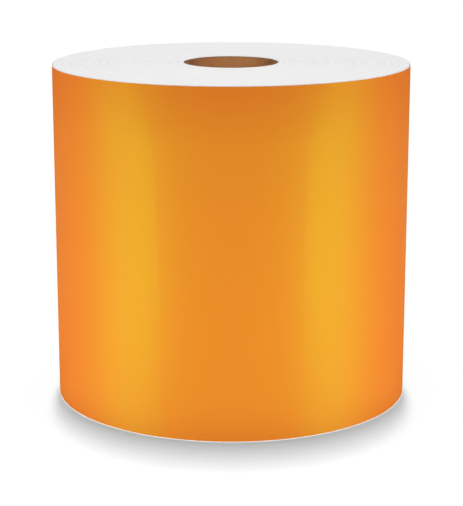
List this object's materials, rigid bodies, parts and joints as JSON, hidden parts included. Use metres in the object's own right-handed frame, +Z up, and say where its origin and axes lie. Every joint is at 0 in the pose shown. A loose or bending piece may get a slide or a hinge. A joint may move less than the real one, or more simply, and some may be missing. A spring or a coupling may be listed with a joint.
{
  "type": "adhesive tape roll",
  "caption": "Wide roll of plain orange self-adhesive film with a release liner, wound face out on a paper core, standing on its end, with a free end and a closure tab that open.",
  "frame": {"origin": "on the core's axis, in the plane of the roll's lower end", "axes": "+Z up along the core; -Y is the plain side of the roll; the free end of the web and its closure tab are at the back, at 105 to 151 degrees from +X towards +Y"},
  "size_m": [0.1076, 0.1078, 0.1016],
  "materials": {
    "kraft": "matte",
    "strip": "satin",
    "laminate_edge": "matte",
    "release_liner": "satin",
    "adhesive": "gloss",
    "orange_film": "satin",
    "closure_label": "satin"
  },
  "bodies": {
    "roll": {"core_inner_ply": "kraft", "core_second_ply": "kraft", "core_third_ply": "kraft", "core_outer_ply": "kraft", "start_strip": "strip", "wound_turns": "laminate_edge", "last_turn_liner": "release_liner", "last_turn_adhesive": "adhesive", "last_turn_film": "orange_film"},
    "free_end": {"tail_liner": "release_liner", "bonded_adhesive": "adhesive", "bonded_film": "orange_film"},
    "peeling_film": {"tail_adhesive": "adhesive", "tail_film": "orange_film", "tab_base": "closure_label"},
    "closure_flap": {"tab_flap": "closure_label"}
  },
  "joints": [
    {"name": "tail_lift", "type": "hinge", "parent": "roll", "child": "free_end", "pos_m": [-0.01401, 0.05221, 0.0508], "axis": [0, 0, -1], "range_deg": [0, 75]},
    {"name": "film_peel", "type": "hinge", "parent": "free_end", "child": "peeling_film", "pos_m": [-0.02167, 0.04953, 0.0508], "axis": [0, 0, -1], "range_deg": [0, 80]},
    {"name": "tab_peel", "type": "hinge", "parent": "peeling_film", "child": "closure_flap", "pos_m": [-0.04152, 0.03484, 0.0508], "axis": [0, 0, -1], "range_deg": [0, 150]}
  ]
}
